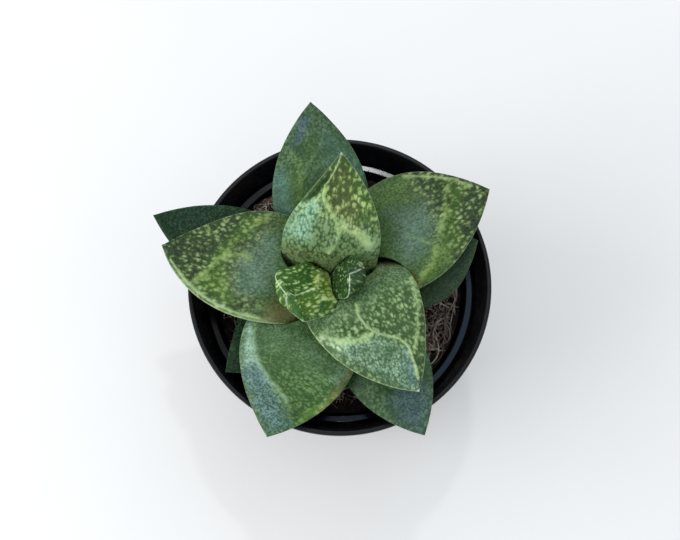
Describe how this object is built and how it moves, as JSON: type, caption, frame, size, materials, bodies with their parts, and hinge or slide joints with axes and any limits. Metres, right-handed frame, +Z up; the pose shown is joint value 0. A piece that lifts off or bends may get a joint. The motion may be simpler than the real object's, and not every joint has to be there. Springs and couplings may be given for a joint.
{
  "type": "potted gasteria",
  "caption": "Small rosette succulent with thick, pointed, mottled green leaves growing in a round black nursery pot filled with fibrous soil.",
  "frame": {"origin": "centre of the flat disc under the pot, on the plane that the pot stands on", "axes": "+Z up, out of the pot's mouth; +Y towards the back, where the longest leaf points; +X to the right"},
  "size_m": [0.1155, 0.114, 0.1194],
  "materials": {
    "pot": "satin black moulded polypropylene",
    "soil": "rough dark potting mix with coir fibres",
    "stem": "matt woody plant tissue",
    "young_leaf": "satin waxy skin, dark green with yellow-green dots",
    "grown_leaf": "satin waxy skin, sage to dark green, mottled",
    "old_leaf": "satin waxy skin, dark blue-green, finely mottled"
  },
  "bodies": {
    "root": {"pot": "pot", "soil": "soil", "stem": "stem", "leaf_01": "young_leaf", "leaf_02": "young_leaf", "leaf_03": "young_leaf", "leaf_04": "young_leaf", "leaf_05": "grown_leaf", "leaf_06": "grown_leaf", "leaf_07": "grown_leaf", "leaf_08": "old_leaf", "leaf_09": "old_leaf", "leaf_10": "old_leaf", "leaf_11": "old_leaf", "leaf_12": "old_leaf"}
  },
  "joints": []
}
